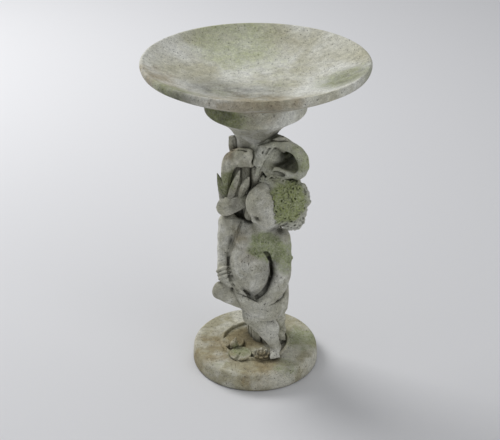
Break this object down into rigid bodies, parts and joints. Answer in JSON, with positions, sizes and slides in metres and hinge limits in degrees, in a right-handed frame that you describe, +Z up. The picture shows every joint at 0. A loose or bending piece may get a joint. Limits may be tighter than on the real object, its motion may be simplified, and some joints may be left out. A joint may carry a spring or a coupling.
{
  "type": "bird bath",
  "caption": "Cast-stone garden bird bath: a round shallow basin that lifts off a leafy pedestal with a standing child figure and a round plinth.",
  "frame": {"origin": "centre of the plinth's flat underside, on the ground", "axes": "+Z up through the centre of the plinth, neck and basin; the figure stands on the -Y side of the leaf trunk, and +X is to the right of someone facing it"},
  "size_m": [0.43, 0.43, 0.6601],
  "materials": {
    "cast_stone_basin": "matte",
    "cast_stone_figure": "matte",
    "cast_stone_mossy": "matte",
    "cast_stone_plinth": "matte",
    "reinforcing_steel": "matte",
    "galvanised_pin": "satin"
  },
  "bodies": {
    "pedestal": {"plinth": "cast_stone_plinth", "core_bar": "reinforcing_steel", "leaf_trunk": "cast_stone_figure", "neck": "cast_stone_basin", "hood_leaf": "cast_stone_mossy", "folded_leaf": "cast_stone_figure", "right_root_blade": "cast_stone_figure", "left_tall_blade": "cast_stone_figure", "front_collar_blade": "cast_stone_figure", "back_left_blade": "cast_stone_figure", "back_right_blade": "cast_stone_figure", "back_blade": "cast_stone_figure", "left_leaf_tip": "cast_stone_figure", "right_leaf_tip": "cast_stone_figure", "back_leaf_tip": "cast_stone_figure", "spear_bud": "cast_stone_figure", "seed_pod": "cast_stone_figure", "child_torso": "cast_stone_figure", "child_head": "cast_stone_figure", "child_hair": "cast_stone_mossy", "child_right_arm": "cast_stone_figure", "child_left_arm": "cast_stone_figure", "child_right_leg": "cast_stone_figure", "child_left_leg": "cast_stone_figure", "right_arm_band": "cast_stone_figure", "left_arm_band": "cast_stone_figure", "loincloth": "cast_stone_figure", "pond_rim": "cast_stone_plinth", "left_lily_pad": "cast_stone_plinth", "front_lily_pad": "cast_stone_plinth", "water_lily": "cast_stone_plinth", "lily_bud": "cast_stone_plinth"},
    "pin": {"locating_pin": "galvanised_pin"},
    "basin": {"basin": "cast_stone_basin", "basin_hoop": "reinforcing_steel", "basin_spokes": "reinforcing_steel"}
  },
  "joints": [
    {"name": "basin_turn", "type": "hinge", "parent": "pedestal", "child": "pin", "pos_m": [0, 0, 0.556], "axis": [0, 0, 1], "continuous": true},
    {"name": "basin_lift", "type": "slide", "parent": "pin", "child": "basin", "axis": [0, 0, 1], "range_m": [0, 0.12]}
  ]
}
